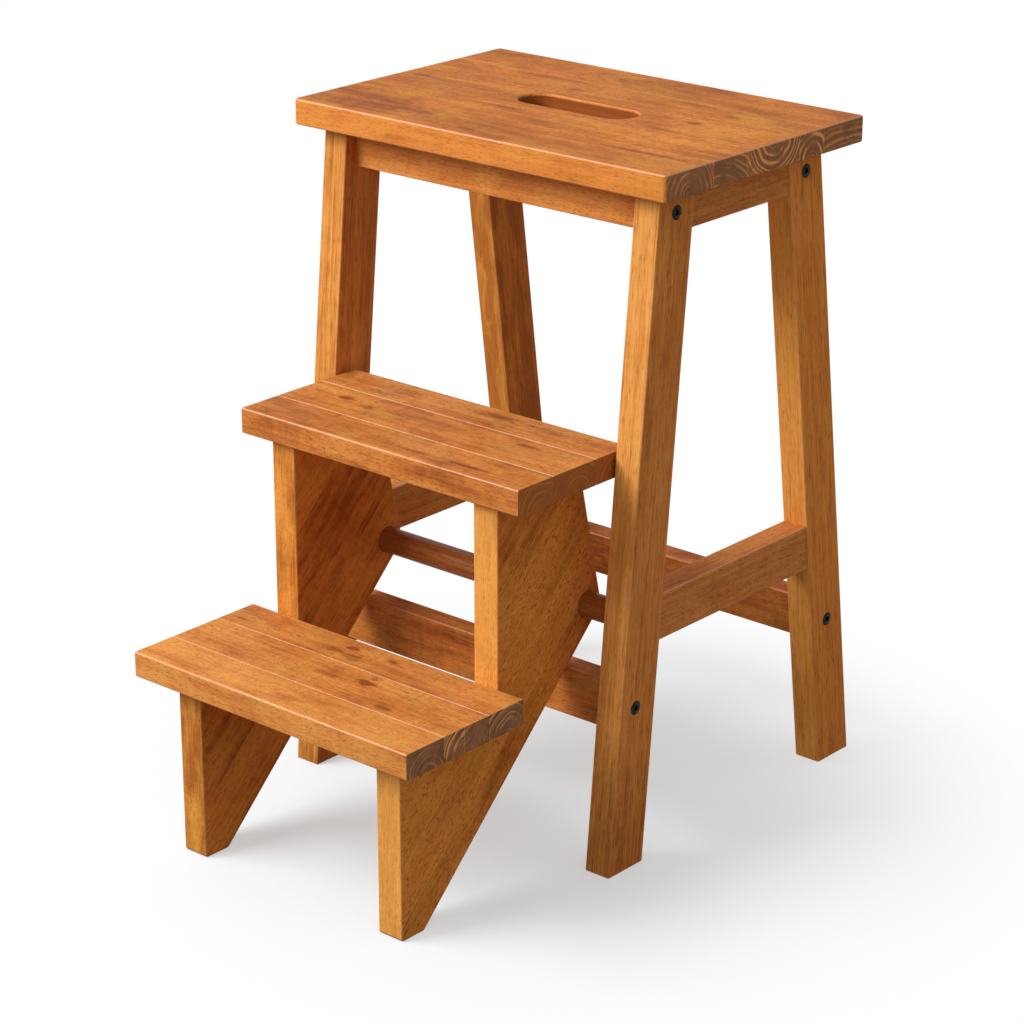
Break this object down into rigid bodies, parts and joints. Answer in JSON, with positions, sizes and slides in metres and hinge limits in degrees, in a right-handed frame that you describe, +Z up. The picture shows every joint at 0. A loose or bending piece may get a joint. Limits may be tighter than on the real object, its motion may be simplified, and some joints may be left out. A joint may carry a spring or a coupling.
{
  "type": "folding step stool",
  "caption": "Wooden stool with a hand slot in its seat and a step unit in front that turns about a round rod and folds up into the frame.",
  "frame": {"origin": "on the floor, under the middle of the whole stool's length and depth with the steps out", "axes": "+Z up; -Y towards the front, where the steps are; +X to the right of a person who faces the stool from its front; the step hinge runs along X"},
  "size_m": [0.427, 0.5934, 0.635],
  "materials": {
    "seat_wood": "satin orange-brown stained hardwood, end grain grey-brown",
    "tread_wood": "satin orange-brown stained hardwood slats",
    "leg_wood": "satin honey-brown stained hardwood, grain along the leg",
    "panel_wood": "satin brown stained hardwood board",
    "rail_wood": "satin red-brown stained hardwood, grain along the rail",
    "rod_wood": "turned rod, darker red-brown stain under a glossier coat",
    "dowel_wood": "bare light hardwood",
    "bolt_black": "black oxide steel",
    "plated_steel": "zinc plated steel"
  },
  "bodies": {
    "frame": {"seat_panel": "seat_wood", "front_left_leg": "leg_wood", "front_right_leg": "leg_wood", "rear_left_leg": "leg_wood", "rear_right_leg": "leg_wood", "front_apron": "rail_wood", "rear_apron": "rail_wood", "left_apron": "rail_wood", "right_apron": "rail_wood", "front_rail": "rail_wood", "rear_rail": "rail_wood", "left_rail": "rail_wood", "right_rail": "rail_wood", "pivot_rod": "rod_wood", "front_left_apron_bolt": "bolt_black", "front_right_apron_bolt": "bolt_black", "rear_left_apron_bolt": "bolt_black", "rear_right_apron_bolt": "bolt_black", "front_left_rail_bolt": "bolt_black", "front_right_rail_bolt": "bolt_black", "rear_left_rail_bolt": "bolt_black", "rear_right_rail_bolt": "bolt_black", "front_left_apron_nut": "plated_steel", "front_right_apron_nut": "plated_steel", "rear_left_apron_nut": "plated_steel", "rear_right_apron_nut": "plated_steel", "front_left_rail_nut": "plated_steel", "front_right_rail_nut": "plated_steel", "rear_left_rail_nut": "plated_steel", "rear_right_rail_nut": "plated_steel", "front_left_seat_screw": "plated_steel", "front_right_seat_screw": "plated_steel", "rear_left_seat_screw": "plated_steel", "rear_right_seat_screw": "plated_steel"},
    "step_unit": {"left_step_panel": "panel_wood", "right_step_panel": "panel_wood", "low_step_front_slat": "tread_wood", "low_step_middle_slat": "tread_wood", "low_step_rear_slat": "tread_wood", "upper_step_front_slat": "tread_wood", "upper_step_middle_slat": "tread_wood", "upper_step_rear_slat": "tread_wood", "low_step_front_left_dowel": "dowel_wood", "low_step_front_right_dowel": "dowel_wood", "low_step_middle_left_dowel": "dowel_wood", "low_step_middle_right_dowel": "dowel_wood", "low_step_rear_left_dowel": "dowel_wood", "low_step_rear_right_dowel": "dowel_wood", "upper_step_front_left_dowel": "dowel_wood", "upper_step_front_right_dowel": "dowel_wood", "upper_step_middle_left_dowel": "dowel_wood", "upper_step_middle_right_dowel": "dowel_wood", "upper_step_rear_left_dowel": "dowel_wood", "upper_step_rear_right_dowel": "dowel_wood"}
  },
  "joints": [
    {"name": "step_fold", "type": "hinge", "parent": "frame", "child": "step_unit", "pos_m": [0, -0.02984, 0.2355], "axis": [-1, 0, 0], "range_deg": [0, 168.5]}
  ]
}
